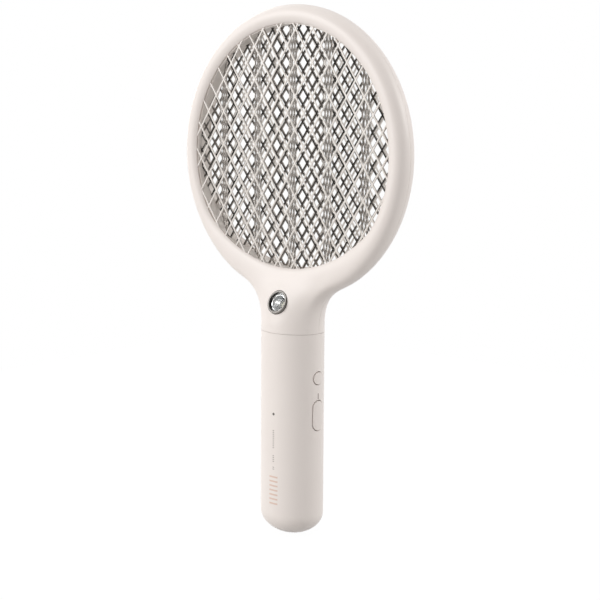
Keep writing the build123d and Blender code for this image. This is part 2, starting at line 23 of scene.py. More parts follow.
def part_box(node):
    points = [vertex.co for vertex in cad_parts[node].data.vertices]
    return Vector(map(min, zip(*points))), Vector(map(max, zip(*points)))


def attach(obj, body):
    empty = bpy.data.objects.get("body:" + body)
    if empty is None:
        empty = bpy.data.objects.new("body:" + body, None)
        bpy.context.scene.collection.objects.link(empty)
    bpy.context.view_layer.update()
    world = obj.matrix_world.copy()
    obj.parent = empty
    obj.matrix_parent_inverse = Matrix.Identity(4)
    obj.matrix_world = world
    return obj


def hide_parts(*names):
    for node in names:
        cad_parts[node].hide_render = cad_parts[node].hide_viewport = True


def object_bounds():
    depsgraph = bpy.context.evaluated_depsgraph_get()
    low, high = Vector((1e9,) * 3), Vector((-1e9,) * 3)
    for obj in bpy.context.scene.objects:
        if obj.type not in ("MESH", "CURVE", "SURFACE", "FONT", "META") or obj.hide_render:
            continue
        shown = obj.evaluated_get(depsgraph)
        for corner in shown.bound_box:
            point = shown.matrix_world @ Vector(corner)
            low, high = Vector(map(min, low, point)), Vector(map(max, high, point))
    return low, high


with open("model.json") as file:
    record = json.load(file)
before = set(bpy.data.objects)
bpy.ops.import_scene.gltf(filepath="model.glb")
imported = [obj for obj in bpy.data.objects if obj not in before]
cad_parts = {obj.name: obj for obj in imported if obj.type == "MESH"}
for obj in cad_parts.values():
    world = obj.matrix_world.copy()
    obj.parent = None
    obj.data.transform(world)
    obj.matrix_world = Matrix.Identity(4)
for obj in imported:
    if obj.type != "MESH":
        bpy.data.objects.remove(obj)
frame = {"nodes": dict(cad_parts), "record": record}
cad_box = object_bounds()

nodes = frame["nodes"]
slots = {part["node"]: part["material_slot"] for part in frame["record"]["subparts"]}

# %% [markdown]
# ## Sizes
#
# Most sizes are read from the model itself, so that the skin always fits what it closes round.
# The hoop's outside comes from the front shell, the opening from the guard that reaches a little
# way into the hoop, and the handle's oval from the tube. What a box can't tell is named here, in
# metres.

# %% Sizes from the model
shell_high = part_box("front_shell")[1]
guard_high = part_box("front_guard")[1]
handle_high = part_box("handle_tube")[1]
bezel_low, bezel_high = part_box("light_bezel")

MM = 0.001
WELD = 0.001 * MM  # points nearer than this are one point
net_seat = 5.0 * MM  # how far the nets reach into the hoop
hoop_outer = shell_high.x
opening_radius = guard_high.x - net_seat
hoop_half_width = (hoop_outer - opening_radius) / 2
hoop_radius = hoop_outer - hoop_half_width
hoop_half_depth = 7.15 * MM
hoop_power = 2.3  # 2 would be an oval section, and more is squarer
head_z = shell_high.z - hoop_outer
handle_half_width = handle_high.x
handle_half_depth = handle_high.y
seam_z = handle_high.z
print("hoop", round(hoop_radius / MM, 2), "mm round a centre", round(head_z / MM, 2), "mm up")

# %% [markdown]
# ## Helpers for meshes
#
# A shape is drawn as a light cage with bmesh operators, and a few modifiers finish it. The
# modifiers are applied here, because the cuts that follow need the finished surface. The holder
# object that carries them is thrown away afterwards.

# %% Finish a mesh with modifiers
def finished(mesh, *steps):
    """Applies modifiers, given as (type, settings) pairs, and returns the new mesh."""
    holder = bpy.data.objects.new("holder", mesh)
    bpy.context.scene.collection.objects.link(holder)
    for kind, settings in steps:
        modifier = holder.modifiers.new(kind, kind)
        for name, value in settings.items():
            setattr(modifier, name, value)
    bpy.context.view_layer.update()
    graph = bpy.context.evaluated_depsgraph_get()
    result = bpy.data.meshes.new_from_object(holder.evaluated_get(graph))
    bpy.data.objects.remove(holder)
    return result


def mesh_of(bm, name="cage"):
    mesh = bpy.data.meshes.new(name)
    bm.to_mesh(mesh)
    bm.free()
    return mesh


def smooth_shaded(mesh, sharp_degrees):
    """Smooth shading, broken where faces meet at more than an angle."""
    mesh.shade_smooth()
    mesh.set_sharp_from_angle(angle=radians(sharp_degrees))
    return mesh


# %% [markdown]
# ## Helpers for finishes
#
# A finish is a small tree of shader nodes. One function adds a node, with its settings and the
# values or links of its inputs, so every material below reads as a list of steps. Colours are
# written as sRGB hex, the way a paint chart gives them, and turned to linear light here.

# %% Add nodes and read colours
def linear(hex_colour):
    """An sRGB hex colour as linear red, green and blue, and full alpha."""
    channels = [int(hex_colour[i : i + 2], 16) / 255 for i in (1, 3, 5)]
    return [c / 12.92 if c <= 0.04045 else ((c + 0.055) / 1.055) ** 2.4 for c in channels] + [1.0]


def add(tree, kind, inputs=None, **settings):
    """Adds one node. An input is a value, or another node's output socket to link from."""
    node = tree.nodes.new(kind)
    for name, value in settings.items():
        setattr(node, name, value)
    for name, value in (inputs or {}).items():
        if isinstance(value, bpy.types.NodeSocket):
            tree.links.new(value, node.inputs[name])
        else:
            node.inputs[name].default_value = value
    return node


def new_material(name):
    """An empty material, and the Object coordinates that its patterns follow."""
    material = bpy.data.materials.new(name)
    material.use_nodes = True
    tree = material.node_tree
    tree.nodes.clear()
    where = add(tree, "ShaderNodeTexCoord").outputs["Object"]
    return material, tree, where


def per_metre(size_mm):
    """A texture's scale for features of a real size."""
    return 1 / (size_mm * MM)


def close_with(material, tree, shader):
    add(tree, "ShaderNodeOutputMaterial", {"Surface": shader.outputs[0]})
    return material


# %% [markdown]
# ## Moulded plastics
#
# The skin is ABS, injection moulded in a spark-eroded steel tool. The tool's fine grain comes out
# on the plastic as a soft satin: no mirror highlight, and a faint unevenness where the grain is
# closer. Two warm creams a shade apart stand for the colour's slow drift in a thick wall. The
# real grain is about 0.08 mm, too fine to show, so it is drawn at 0.35 mm and kept very shallow.

# %% Moulded plastic
def moulded(name, light, dark, rough, grain_mm=0.35, depth_mm=0.004, drift_mm=28.0):
    """A plastic whose colour drifts slowly, with a fine grain in its gloss and its surface."""
    material, tree, where = new_material(name)
    drift = add(tree, "ShaderNodeTexNoise",
                {"Vector": where, "Scale": per_metre(drift_mm), "Detail": 2.0})
    colour = add(tree, "ShaderNodeMix",
                 {"Factor": drift.outputs["Fac"], 6: linear(light), 7: linear(dark)},
                 data_type="RGBA")
    grain = add(tree, "ShaderNodeTexNoise",
                {"Vector": where, "Scale": per_metre(grain_mm), "Detail": 3.0})
    satin = add(tree, "ShaderNodeMapRange",
                {"Value": grain.outputs["Fac"], "To Min": rough - 0.05, "To Max": rough + 0.05})
    bump = add(tree, "ShaderNodeBump",
               {"Height": grain.outputs["Fac"], "Strength": 0.6, "Distance": depth_mm * MM})
    shader = add(tree, "ShaderNodeBsdfPrincipled",
                 {"Base Color": colour.outputs[2], "Roughness": satin.outputs[0],
                  "Normal": bump.outputs[0], "IOR": 1.54})
    return close_with(material, tree, shader)


# %% [markdown]
# ## Metals
#
# The live grid is expanded steel with its mill finish: it was slit and pulled open, so its
# strands are fine and a dull grey, with streaks along the pull. The bezel round the light is ABS
# under a silver lacquer: its metal flakes mirror the room, and the pigment between them is plain
# grey, so it never goes quite black. Metals keep their own default index, and get their colour
# from the base colour alone.

# %% Metal
def metal(name, light, dark, rough, streak_mm, stretch=1.0, dent_mm=0.0, mirror_share=1.0):
    """A metal with streaks of a real size. The mirror share is 1 for metal that is all bare."""
    material, tree, where = new_material(name)
    turned = add(tree, "ShaderNodeMapping", {"Vector": where, "Scale": (1.0, 1.0, 1 / stretch)})
    streaks = add(tree, "ShaderNodeTexNoise",
                  {"Vector": turned.outputs[0], "Scale": per_metre(streak_mm), "Detail": 4.0})
    colour = add(tree, "ShaderNodeMix",
                 {"Factor": streaks.outputs["Fac"], 6: linear(light), 7: linear(dark)},
                 data_type="RGBA")
    dull = add(tree, "ShaderNodeMapRange",
               {"Value": streaks.outputs["Fac"], "To Min": rough * 0.7, "To Max": rough * 1.3})
    bump = add(tree, "ShaderNodeBump",
               {"Height": streaks.outputs["Fac"], "Strength": 0.5, "Distance": dent_mm * MM})
    shader = add(tree, "ShaderNodeBsdfPrincipled",
                 {"Base Color": colour.outputs[2], "Roughness": dull.outputs[0],
                  "Normal": bump.outputs[0], "Metallic": mirror_share})
    return close_with(material, tree, shader)


# %% [markdown]
# ## Enamel, lens and small parts
#
# The guards are expanded steel sheet under baked enamel. Enamel pulls away from sharp strand
# edges and pools on the flats, which reads as a slightly uneven gloss. The lens is clear acrylic
# with a moulded ripple that spreads the beam.

# %% Enamel and clear lens
def enamel(name, light, dark, rough):
    """A baked enamel, with the slight waves it sets in and a thin clear coat."""
    material, tree, where = new_material(name)
    flow = add(tree, "ShaderNodeTexNoise",
               {"Vector": where, "Scale": per_metre(3.0), "Detail": 3.0})
    colour = add(tree, "ShaderNodeMix",
                 {"Factor": flow.outputs["Fac"], 6: linear(light), 7: linear(dark)},
                 data_type="RGBA")
    bump = add(tree, "ShaderNodeBump",
               {"Height": flow.outputs["Fac"], "Strength": 0.3, "Distance": 0.02 * MM})
    shader = add(tree, "ShaderNodeBsdfPrincipled",
                 {"Base Color": colour.outputs[2], "Roughness": rough, "Normal": bump.outputs[0],
                  "IOR": 1.5, "Coat Weight": 0.3, "Coat Roughness": 0.15})
    return close_with(material, tree, shader)


def clear_acrylic(name):
    material, tree, where = new_material(name)
    ripple = add(tree, "ShaderNodeTexVoronoi", {"Vector": where, "Scale": per_metre(1.6)})
    bump = add(tree, "ShaderNodeBump",
               {"Height": ripple.outputs["Distance"], "Strength": 0.12, "Distance": 0.15 * MM})
    shader = add(tree, "ShaderNodeBsdfPrincipled",
                 {"Base Color": linear("#F7F9FA"), "Roughness": 0.03, "Normal": bump.outputs[0],
                  "IOR": 1.49, "Transmission Weight": 1.0})
    return close_with(material, tree, shader)


# %% [markdown]
# ## The cup behind the lens
#
# The cup is moulded with small facets and metallised, so that its beam is even. Each facet
# mirrors a different part of its surroundings, and next to a bright one there is often a much
# darker one. The facets are Voronoi cells 3 mm across: every cell tips the surface its own way.
# Each cell also gets a base colour between dark and bright: a painted reflection, which stands in
# for the bright or dark surroundings that a facet mirrors.

# %% Facetted mirror, with painted reflections
def facets_with_painted_reflections(name, bright, dark, facet_mm):
    """A mirror of small facets, each with its own tilt, and a base colour set bright or dark per
    facet as a painted reflection.
    """
    material, tree, where = new_material(name)
    cells = add(tree, "ShaderNodeTexVoronoi", {"Vector": where, "Scale": per_metre(facet_mm)})
    # Painted reflection: each cell's base colour, between dark and bright, stands in for what that
    # facet mirrors.
    share = add(tree, "ShaderNodeMapRange",
                {"Value": cells.outputs["Color"], "From Min": 0.35, "From Max": 0.65})
    colour = add(tree, "ShaderNodeMix",
                 {"Factor": share.outputs[0], 6: linear(dark), 7: linear(bright)},
                 data_type="RGBA")
    bump = add(tree, "ShaderNodeBump",
               {"Height": cells.outputs["Distance"], "Strength": 0.6, "Distance": 0.2 * MM})
    shader = add(tree, "ShaderNodeBsdfPrincipled",
                 {"Base Color": colour.outputs[2], "Roughness": 0.16, "Normal": bump.outputs[0],
                  "Metallic": 1.0})
    return close_with(material, tree, shader)


# %% [markdown]
# ## The finish of every slot
#
# Each piece of the model names a slot. The outer slots get the finishes above. The inner ones are
# seen only when the shells are opened, but a board, a wire or a cell still gets what it is made
# of.

# %% Make one material for each slot
finishes = {
    "cream_abs": moulded("cream_moulded_abs", "#F3EBE5", "#EFE6E0", 0.40),
    "button_abs": moulded("cream_button_abs", "#F2EAE4", "#EEE5DF", 0.36),
    "guard_enamel": enamel("cream_baked_enamel", "#EFE9E3", "#E6DFD8", 0.34),
    "grid_steel": metal("expanded_mill_steel", "#A29C96", "#8B8681", 0.26, 1.5, stretch=4.0,
                        dent_mm=0.03),
    "carrier_nylon": moulded("natural_nylon", "#F4EDE6", "#EEE6DF", 0.50),
    "bright_chrome": metal("silver_flake_lacquer", "#827E7A", "#777370", 0.36, 6.0,
                           mirror_share=0.6),
    # The cup's bright and dark facets are painted reflections, set in its base colour.
    "mirror_plate": facets_with_painted_reflections("metallised_facets_painted_reflections", "#F2F1EF", "#7A7673", 3.0),
    "clear_lens": clear_acrylic("clear_acrylic"),
    "led_resin": moulded("phosphor_resin", "#EDE4BE", "#E5DBB0", 0.35),
    "board_laminate": moulded("green_glass_epoxy", "#1F5A36", "#1A4E2F", 0.32, grain_mm=0.5),
    "screw_steel": metal("zinc_plated_steel", "#A7A8AB", "#8F9093", 0.28, 0.8, dent_mm=0.01),
    "frame_abs": moulded("dark_moulded_abs", "#3B3B3D", "#343436", 0.45),
    "switch_body": moulded("black_switch_resin", "#232325", "#1E1E20", 0.40),
    "plunger_pom": moulded("natural_acetal", "#E6E3DD", "#DEDAD3", 0.32),
    "indicator_smoke": moulded("smoked_light_pipe", "#6E6864", "#625C58", 0.20),
    "chassis_abs": moulded("grey_moulded_abs", "#B9B6B2", "#AFACA8", 0.48),
    "cell_wrap": moulded("blue_shrink_wrap", "#2F6FA8", "#2A6598", 0.25, grain_mm=1.0),
    "nickel_strip": metal("nickel_strip", "#B8B4AC", "#A6A29A", 0.25, 1.0),
    "ferrite": moulded("pressed_ferrite", "#3A3836", "#302E2D", 0.60),
    "copper_winding": metal("enamelled_copper", "#B8703C", "#A25F30", 0.30, 0.4, dent_mm=0.05),
    "capacitor_epoxy": moulded("dipped_epoxy", "#A4442C", "#963C27", 0.30, grain_mm=0.8),
    "component_black": moulded("black_moulded_epoxy", "#262628", "#202022", 0.50),
    "socket_steel": metal("stamped_steel_socket", "#B4B4B6", "#9C9C9F", 0.25, 0.7),
    "socket_tongue_black": moulded("black_liquid_crystal_polymer", "#1E1E1F", "#19191A", 0.40),
    "wire_red": moulded("red_wire_insulation", "#B4302A", "#A52A25", 0.35),
    "wire_black": moulded("black_wire_insulation", "#232325", "#1D1D1F", 0.35),
    "wire_white": moulded("white_wire_insulation", "#E6E4E0", "#DDDAD5", 0.35),
    "rose_print": moulded("rose_gold_pad_print", "#E6CCBE", "#DFC2B2", 0.30),
    "grey_print": moulded("taupe_pad_print", "#B5AAA5", "#ABA09B", 0.40),
}
for name, node in nodes.items():
    node.data.materials.clear()
    node.data.materials.append(finishes[slots[name]])
print(len(finishes), "finishes on", len(nodes), "nodes")

# %% [markdown]
# ## The skin of the hoop and neck
#
# On the real swatter the hoop swells into the neck with no edge anywhere, because the tool was
# cut from one surface. A surface like that is what a subdivision cage is for: few control points,
# and smooth everywhere between them. The cage starts as a twelve-sided section spun round the
# head's centre. A window is opened at the bottom of the hoop, and its border is drawn out, loop
# by loop, down to the oval of the handle.
#
# A subdivided loop shrinks a little inside its control points. The factor depends only on the
# number of points, so the cage is made that much larger.

# %% Spin the hoop
SECTION_SIDES = 12
SPOKES = 60


def swell(sides):
    """How much larger a ring of control points is than the smooth ring that it makes."""
    return 3 / (2 + cos(2 * pi / sides))


def place_on_hoop(point):
    """Degrees round the head from its foot, and round the section, for the unshaped hoop."""
    around = degrees(atan2(point.x, -point.z))
    across = degrees(atan2(point.y, hypot(point.x, point.z) - hoop_radius))
    return around, across


hoop = bmesh.new()
bmesh.ops.create_circle(hoop, segments=SECTION_SIDES, radius=hoop_half_width)
bmesh.ops.translate(hoop, verts=hoop.verts, vec=(hoop_radius, 0, 0))
bmesh.ops.spin(hoop, geom=hoop.edges[:], axis=(0, 1, 0), cent=(0, 0, 0), angle=2 * pi, steps=SPOKES,
               use_merge=True)
print("hoop cage:", len(hoop.faces), "faces")

# %% [markdown]
# ## Open the hoop's foot
#
# The faces that the neck will replace are deleted: those within 30 degrees of the foot, round the
# outside of the section and a little past its crests. Then every remaining point is moved to its
# true place. The inner half of the section reaches further in at the foot, where the opening has
# a flatter edge, and it is squarer there.

# %% Shape the hoop
WINDOW_AROUND = 30.0
WINDOW_ACROSS = 120.0
lip_radius = 79.0 * MM  # the opening's flatter lower edge is an arc of this radius
lip_drop = 63.5 * MM  # its lowest point, below the head's centre
lip_power = 5.0  # how square the section's inner half is at the foot


def opening_edge(around):
    """The opening's radius at an angle from the foot, and its share of the flatter edge."""
    offset = lip_radius - lip_drop
    turn = radians(around)
    flatter = sqrt(lip_radius**2 - (offset * sin(turn)) ** 2) - offset * cos(turn)
    edge = min(opening_radius, flatter)
    return edge, (opening_radius - edge) / (opening_radius - lip_drop)


def hoop_point(around, across):
    """A control point of the hoop's section: a distance out from the head's centre, and a depth."""
    edge, flatness = opening_edge(around)
    turn = radians(across)
    inner_half = cos(turn) < 0
    power = hoop_power + (lip_power - hoop_power) * flatness if inner_half else hoop_power
    half_width = hoop_radius - edge if inner_half else hoop_half_width
    out = half_width * abs(cos(turn)) ** (2 / power) * (-1 if inner_half else 1)
    depth = hoop_half_depth * abs(sin(turn)) ** (2 / power) * (-1 if sin(turn) < 0 else 1)
    grow = swell(SECTION_SIDES)
    return hoop_radius * swell(SPOKES) + out * grow, depth * grow


def in_window(face):
    """Whether a face of the unshaped hoop makes room for the neck."""
    around, across = place_on_hoop(face.calc_center_median())
    return abs(around) < WINDOW_AROUND and abs(across) < WINDOW_ACROSS


window = [f for f in hoop.faces if in_window(f)]
bmesh.ops.delete(hoop, geom=window, context="FACES")
places = {v: place_on_hoop(v.co) for v in hoop.verts}
for v, (around, across) in places.items():
    out, depth = hoop_point(around, across)
    turn = radians(around)
    v.co = (out * sin(turn), depth, head_z - out * cos(turn))
border = [e for e in hoop.edges if e.is_boundary]
print("window border:", len(border), "edges")

# %% [markdown]
# ## Draw out the neck
#
# Each loop of the neck is the border extruded once more, with its points moved to that loop's
# shape. A point keeps its place round the loop, as a share of a turn. High loops still resemble
# the window, and low ones are the handle's oval, so the shape changes over smoothly. The neck's
# sides follow a fillet that is tangent to the hoop and to the handle, and its front comes down
# from the handle's depth to the hoop's in one slow S.

# %% Extrude the neck, loop by loop
fillet_radius = 20.0 * MM
END_SHARE = 40.0  # half of the window's end takes up this many degrees of a loop


def turn_on_loop(around, across):
    """A border point's place round the neck in degrees, from +X towards +Y."""
    side = abs(abs(around) - WINDOW_AROUND) < 0.1
    if side:
        swing = across / WINDOW_ACROSS * END_SHARE
        return swing if around > 0 else 180 - swing
    along = (WINDOW_AROUND - around) / (2 * WINDOW_AROUND) * (180 - 2 * END_SHARE)
    return END_SHARE + along if across > 0 else -END_SHARE - along


def fillet_side(turn_degrees):
    """A point of the neck's side outline, at an angle round the fillet's centre."""
    centre_x = handle_half_width + fillet_radius
    centre_z = head_z - sqrt((hoop_outer + fillet_radius) ** 2 - centre_x**2)
    turn = radians(turn_degrees)
    return centre_x + fillet_radius * cos(turn), centre_z + fillet_radius * sin(turn)


def neck_depth(height):
    """How far the neck's front stands from its middle plane."""
    lip = head_z - lip_drop
    t = min(max((height - seam_z) / (lip - seam_z), 0), 1) ** 1.5
    foot_depth = 6.9 * MM
    return handle_half_depth - (handle_half_depth - foot_depth) * t * t * (3 - 2 * t)


seats = {tuple(v.co): turn_on_loop(*places[v]) for e in border for v in e.verts}
window_shape = {turn: (Vector(co).x, Vector(co).y) for co, turn in seats.items()}
half_across = max(x for x, y in window_shape.values())
half_deep = max(y for x, y in window_shape.values())

loops = [  # the side's place, how much higher the front is, and how near to an oval it is
    (*fillet_side(113), 4.6 * MM, 0.30),
    (*fillet_side(135), 4.2 * MM, 0.60),
    (*fillet_side(157), 3.0 * MM, 0.88),
    (*fillet_side(180), 1.0 * MM, 1.0),
    (handle_half_width, seam_z + 2.5 * MM, 0, 1.0),
    (handle_half_width, seam_z + 0.15 * MM, 0, 1.0),
]
edges = border
for side_x, side_z, front_rise, roundness in loops:
    grown = bmesh.ops.extrude_edge_only(hoop, edges=edges)["geom"]
    points = [g for g in grown if isinstance(g, bmesh.types.BMVert)]
    edges = [g for g in grown if isinstance(g, bmesh.types.BMEdge) and g.is_boundary]
    turns = {v: seats[tuple(v.co)] for v in points}
    front_z = side_z + front_rise
    grow = swell(len(turns))
    for v, degrees_round in turns.items():
        turn = radians(degrees_round)
        window_x, window_y = window_shape[degrees_round]
        across = roundness * cos(turn) + (1 - roundness) * window_x / half_across
        deep = roundness * sin(turn) + (1 - roundness) * window_y / half_deep
        height = side_z + (front_z - side_z) * min(abs(deep), 1) ** 2
        v.co = (side_x * across * grow, neck_depth(front_z) * deep * grow, height)
    seats = {tuple(v.co): turns[v] for v in points}
bmesh.ops.recalc_face_normals(hoop, faces=hoop.faces)
cage = mesh_of(hoop)
skin = finished(cage, ("SUBSURF", {"levels": 2, "render_levels": 2}))
print("smooth skin:", len(skin.polygons), "faces")

# %% [markdown]
# ## Split the skin into two shells
#
# The tool parts on the middle plane, so the skin is cut there, with a hair's gap. The inside of
# the hoop is cut away between the two lips that hold the nets. Each half then gets its wall,
# drawn inwards from the outside that was shaped, and a small round on every cut edge, as a
# moulding has.

# %% Cut, thicken and round each half
parting_gap = 0.07 * MM
slot_half_depth = 5.5 * MM
wall = 1.8 * MM
edge_round = 0.18 * MM


def half_shell(side):
    """One half of the skin. Side is -1 for the front and 1 for the rear."""
    bm = bmesh.new()
    bm.from_mesh(skin)
    parting = {"plane_co": (0, side * parting_gap, 0), "plane_no": (0, side, 0)}
    whole = bm.verts[:] + bm.edges[:] + bm.faces[:]
    bmesh.ops.bisect_plane(bm, geom=whole, clear_inner=True, **parting)

    def inside(face):
        middle = face.calc_center_median()
        return hypot(middle.x, middle.z - head_z) < hoop_radius - 1 * MM

    inner = [f for f in bm.faces if inside(f)]
    around = set(e for f in inner for e in f.edges) | set(v for f in inner for v in f.verts)
    slot = {"plane_co": (0, side * slot_half_depth, 0), "plane_no": (0, side, 0)}
    bmesh.ops.bisect_plane(bm, geom=inner + list(around), **slot)
    open_faces = [f for f in bm.faces
                  if inside(f) and abs(f.calc_center_median().y) < slot_half_depth]
    bmesh.ops.delete(bm, geom=open_faces, context="FACES")
    thick = {"thickness": wall, "offset": -1.0, "use_even_offset": True}
    rounded = {"width": edge_round, "segments": 2, "limit_method": "ANGLE",
               "angle_limit": radians(50)}
    return finished(mesh_of(bm), ("SOLIDIFY", thick), ("BEVEL", rounded))


front_half = half_shell(-1)
rear_half = half_shell(1)
print("shells:", len(front_half.polygons), "and", len(rear_half.polygons), "faces")

# %% [markdown]
# ## Bore the shells
#
# The front shell has a round seat for the light, on an axis that tips 24 degrees up towards the
# head. The rear shell has two counterbored holes whose screws pull the halves together. Each hole
# is cut with a plain cylinder, which is how the tool's core pins make it.

# %% Cut the round holes
light_tilt = radians(24.0)
light_facing = Vector((0, -cos(light_tilt), sin(light_tilt)))
bezel_middle = (bezel_low + bezel_high) / 2
bezel_radius = (bezel_high.x - bezel_low.x) / 2
screw_low, screw_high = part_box("neck_screws")
screw_z = (screw_low.z + screw_high.z) / 2
screw_head_radius = (screw_high.z - screw_low.z) / 2
screw_x = screw_high.x - screw_head_radius


def cut_away(mesh, tool):
    """Cuts one closed shape, drawn as a bmesh, out of a mesh."""
    cutter = bpy.data.objects.new("cutter", mesh_of(tool))
    bpy.context.scene.collection.objects.link(cutter)
    cut = {"operation": "DIFFERENCE", "object": cutter, "solver": "EXACT"}
    result = finished(mesh, ("BOOLEAN", cut))
    bpy.data.objects.remove(cutter)
    return result


def bored(mesh, middle, axis, radius, length):
    """Cuts one round hole through a mesh."""
    pin = bmesh.new()
    stand = Matrix.Translation(middle) @ axis.to_track_quat("Z", "Y").to_matrix().to_4x4()
    bmesh.ops.create_cone(pin, cap_ends=True, segments=64, radius1=radius, radius2=radius,
                          depth=length, matrix=stand)
    return cut_away(mesh, pin)


fit = 0.15 * MM  # the hair of room round whatever sits in a hole
light_bore_length = 14 * MM
screw_bore_length = 12 * MM
front_half = bored(front_half, bezel_middle, light_facing, bezel_radius + fit, light_bore_length)
for side in (-1, 1):
    middle = Vector((side * screw_x, handle_half_depth * 0.75, screw_z))
    rear_half = bored(rear_half, middle, Vector((0, 1, 0)), screw_head_radius + fit,
                      screw_bore_length)
print("bored shells:", len(front_half.polygons), "and", len(rear_half.polygons), "faces")

# %% [markdown]
# ## Stand the shells in for the solids
#
# The model's own shells stay, hidden, and these are shown in their place. The model's own shells
# stay for collision, and these are shown in their place. A screw that is sunk in a shell stands
# in a well: a tube moulded with the shell, from the hole in its skin down to a floor that the
# screw's head pulls on. Each well is a circle drawn out twice, once for the floor and once up to
# the skin, where it ends half way through the wall.

# %% Place the shells
def show(name, mesh, finish, stands_for=(), body="housing"):
    """Makes a finished mesh a piece of the swatter. A print's finish is no slot of the model's."""
    mesh.name = name
    mesh.materials.clear()
    mesh.materials.append(finishes[finish])
    piece = bpy.data.objects.new(name, mesh)
    bpy.context.scene.collection.objects.link(piece)
    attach(piece, body)
    if stands_for:
        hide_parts(*stands_for)


show("front_shell_skin", smooth_shaded(front_half, 40), "cream_abs", ["front_shell"])
show("rear_shell_skin", smooth_shaded(rear_half, 40), "cream_abs", ["rear_shell"])

# %% Model the screw wells
well_wall = 0.5 * MM
shank_hole = 1.05 * MM
screw_head_height = 1.2 * MM
well_floor = screw_high.y - screw_head_height


def skin_y(x, z):
    """How far back the neck's outside lies. Its section is an oval."""
    return neck_depth(z) * sqrt(1 - (x / handle_half_width) ** 2)


def drawn_out(bm, edges):
    """Extrudes a loop of edges, and returns the new points and edges."""
    grown = bmesh.ops.extrude_edge_only(bm, edges=edges)["geom"]
    points = [g for g in grown if isinstance(g, bmesh.types.BMVert)]
    edges = [g for g in grown if isinstance(g, bmesh.types.BMEdge)]
    return points, [e for e in edges if e.verts[0] in points and e.verts[1] in points]


wells = bmesh.new()
for side in (-1, 1):
    middle = Vector((side * screw_x, well_floor, screw_z))
    stand = Matrix.Translation(middle) @ Matrix.Rotation(radians(90), 4, "X")
    hole = bmesh.ops.create_circle(wells, segments=32, radius=shank_hole, matrix=stand)["verts"]
    rim, edge = drawn_out(wells, list({e for v in hole for e in v.link_edges}))
    widen = (screw_head_radius + fit) / shank_hole
    bmesh.ops.scale(wells, verts=rim, vec=(widen, 1, widen), space=Matrix.Translation(-middle))
    for v in drawn_out(wells, edge)[0]:
        v.co.y = skin_y(v.co.x, v.co.z) - wall / 2
bmesh.ops.recalc_face_normals(wells, faces=wells.faces)
well_mesh = finished(mesh_of(wells), ("SOLIDIFY", {"thickness": well_wall, "offset": 1.0}))
show("screw_wells", smooth_shaded(well_mesh, 40), "cream_abs")
print("screw wells:", len(well_mesh.polygons), "faces")

# %% [markdown]
# ## Screws that show
#
# Three small screws can be seen from behind: two in the neck's wells, and one that pins the neck
# into the handle. Each is turned from bar and its cross is punched, so it is drawn the same way:
# half a profile is spun round the screw's axis, with a rounded rim, and two narrow blocks cut the
# cross.

# %% Turn the screws
shank_radius = 0.9 * MM
rim_round = 0.35 * MM
cross_arm = (2.2 * MM, 1.1 * MM, 0.45 * MM)  # across the head, twice the depth, and the width
cross_turns = (radians(20), radians(110))


def turned_screw(length):
    """A pan-head screw that stands on its tip at the origin, along +Y."""
    under_head = length - screw_head_height
    profile = [(0, 0), (shank_radius * 0.4, 0), (shank_radius, shank_radius),
               (shank_radius, under_head), (screw_head_radius, under_head),
               (screw_head_radius, length - rim_round),
               (screw_head_radius - rim_round * 0.3, length - rim_round * 0.3),
               (screw_head_radius - rim_round, length), (0, length)]
    bm = bmesh.new()
    points = [bm.verts.new((radius, y, 0)) for radius, y in profile]
    line = [bm.edges.new(pair) for pair in zip(points, points[1:])]
    bmesh.ops.spin(bm, geom=points + line, axis=(0, 1, 0), cent=(0, 0, 0), angle=2 * pi,
                   steps=32, use_merge=True)
    bmesh.ops.remove_doubles(bm, verts=bm.verts, dist=WELD)
    bmesh.ops.recalc_face_normals(bm, faces=bm.faces)
    screw = mesh_of(bm)
    for turn in cross_turns:
        block = bmesh.new()
        stand = Matrix.Translation((0, length, 0)) @ Matrix.Rotation(turn, 4, "Y")
        bmesh.ops.create_cube(block, size=1.0, matrix=stand @ Matrix.Diagonal((*cross_arm, 1.0)))
        screw = cut_away(screw, block)
    return screw


def screws_at(tips, length):
    """Copies of one screw in one mesh."""
    screw = turned_screw(length)
    group = bmesh.new()
    for tip in tips:
        placed = screw.copy()
        placed.transform(Matrix.Translation(tip))
        group.from_mesh(placed)
    return smooth_shaded(mesh_of(group), 35)


neck_tips = [(side * screw_x, screw_low.y, screw_z) for side in (-1, 1)]
neck_pair = screws_at(neck_tips, screw_high.y - screw_low.y)
show("neck_screws_turned", neck_pair, "screw_steel", ["neck_screws"])
pin_low, pin_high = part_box("spigot_screw")
pin_tip = (0, pin_low.y, (pin_low.z + pin_high.z) / 2)
neck_pin = screws_at([pin_tip], pin_high.y - pin_low.y)
show("spigot_screw_turned", neck_pin, "screw_steel", ["spigot_screw"])
print("screws:", len(neck_pair.polygons), "faces in the neck's pair")

# %% [markdown]
# ## The live grid's strands
#
# A strand of expanded metal stands on edge in its sheet, because the slitting turns it, so it is
# deeper than the plain sheet was thick. The model's grid has the sheet's thickness. Here a copy
# of it is welded, and every point in the opening is moved straight away from the middle of the
# pleat that it lies on, which leaves the net's pattern as it is. Seen nearly along a pleat's far
# side, deeper strands close up into the upright grey bands that a pleated grid shows. The rim
# stays as thin as the slot that clamps it.

# %% Deepen the grid's strands
STRAND_DEEPENING = 1.8  # about as deep, square to the sheet, as a strand is wide
fold_pitch = 13.15 * MM  # from a crest to the next trough
first_crest = 5.6 * MM
fold_rise = 8.3 * MM / 2  # half of the way from trough to crest
lip_clearance = 1.2 * MM  # how far inside the lip the deeper strands stop


def pleat_middle(x):
    """The depth of the pleated sheet's middle: a straight zigzag across the head."""
    from_crest = abs(((x - first_crest) / fold_pitch + 1) % 2 - 1)
    return fold_rise * (2 * from_crest - 1)


def in_opening(v):
    """Whether a point of a net lies inside the lip, where nothing clamps it."""
    across, up = v.co.x, v.co.z - head_z
    edge = opening_edge(degrees(atan2(across, -up)))[0]
    return hypot(across, up) < edge - lip_clearance


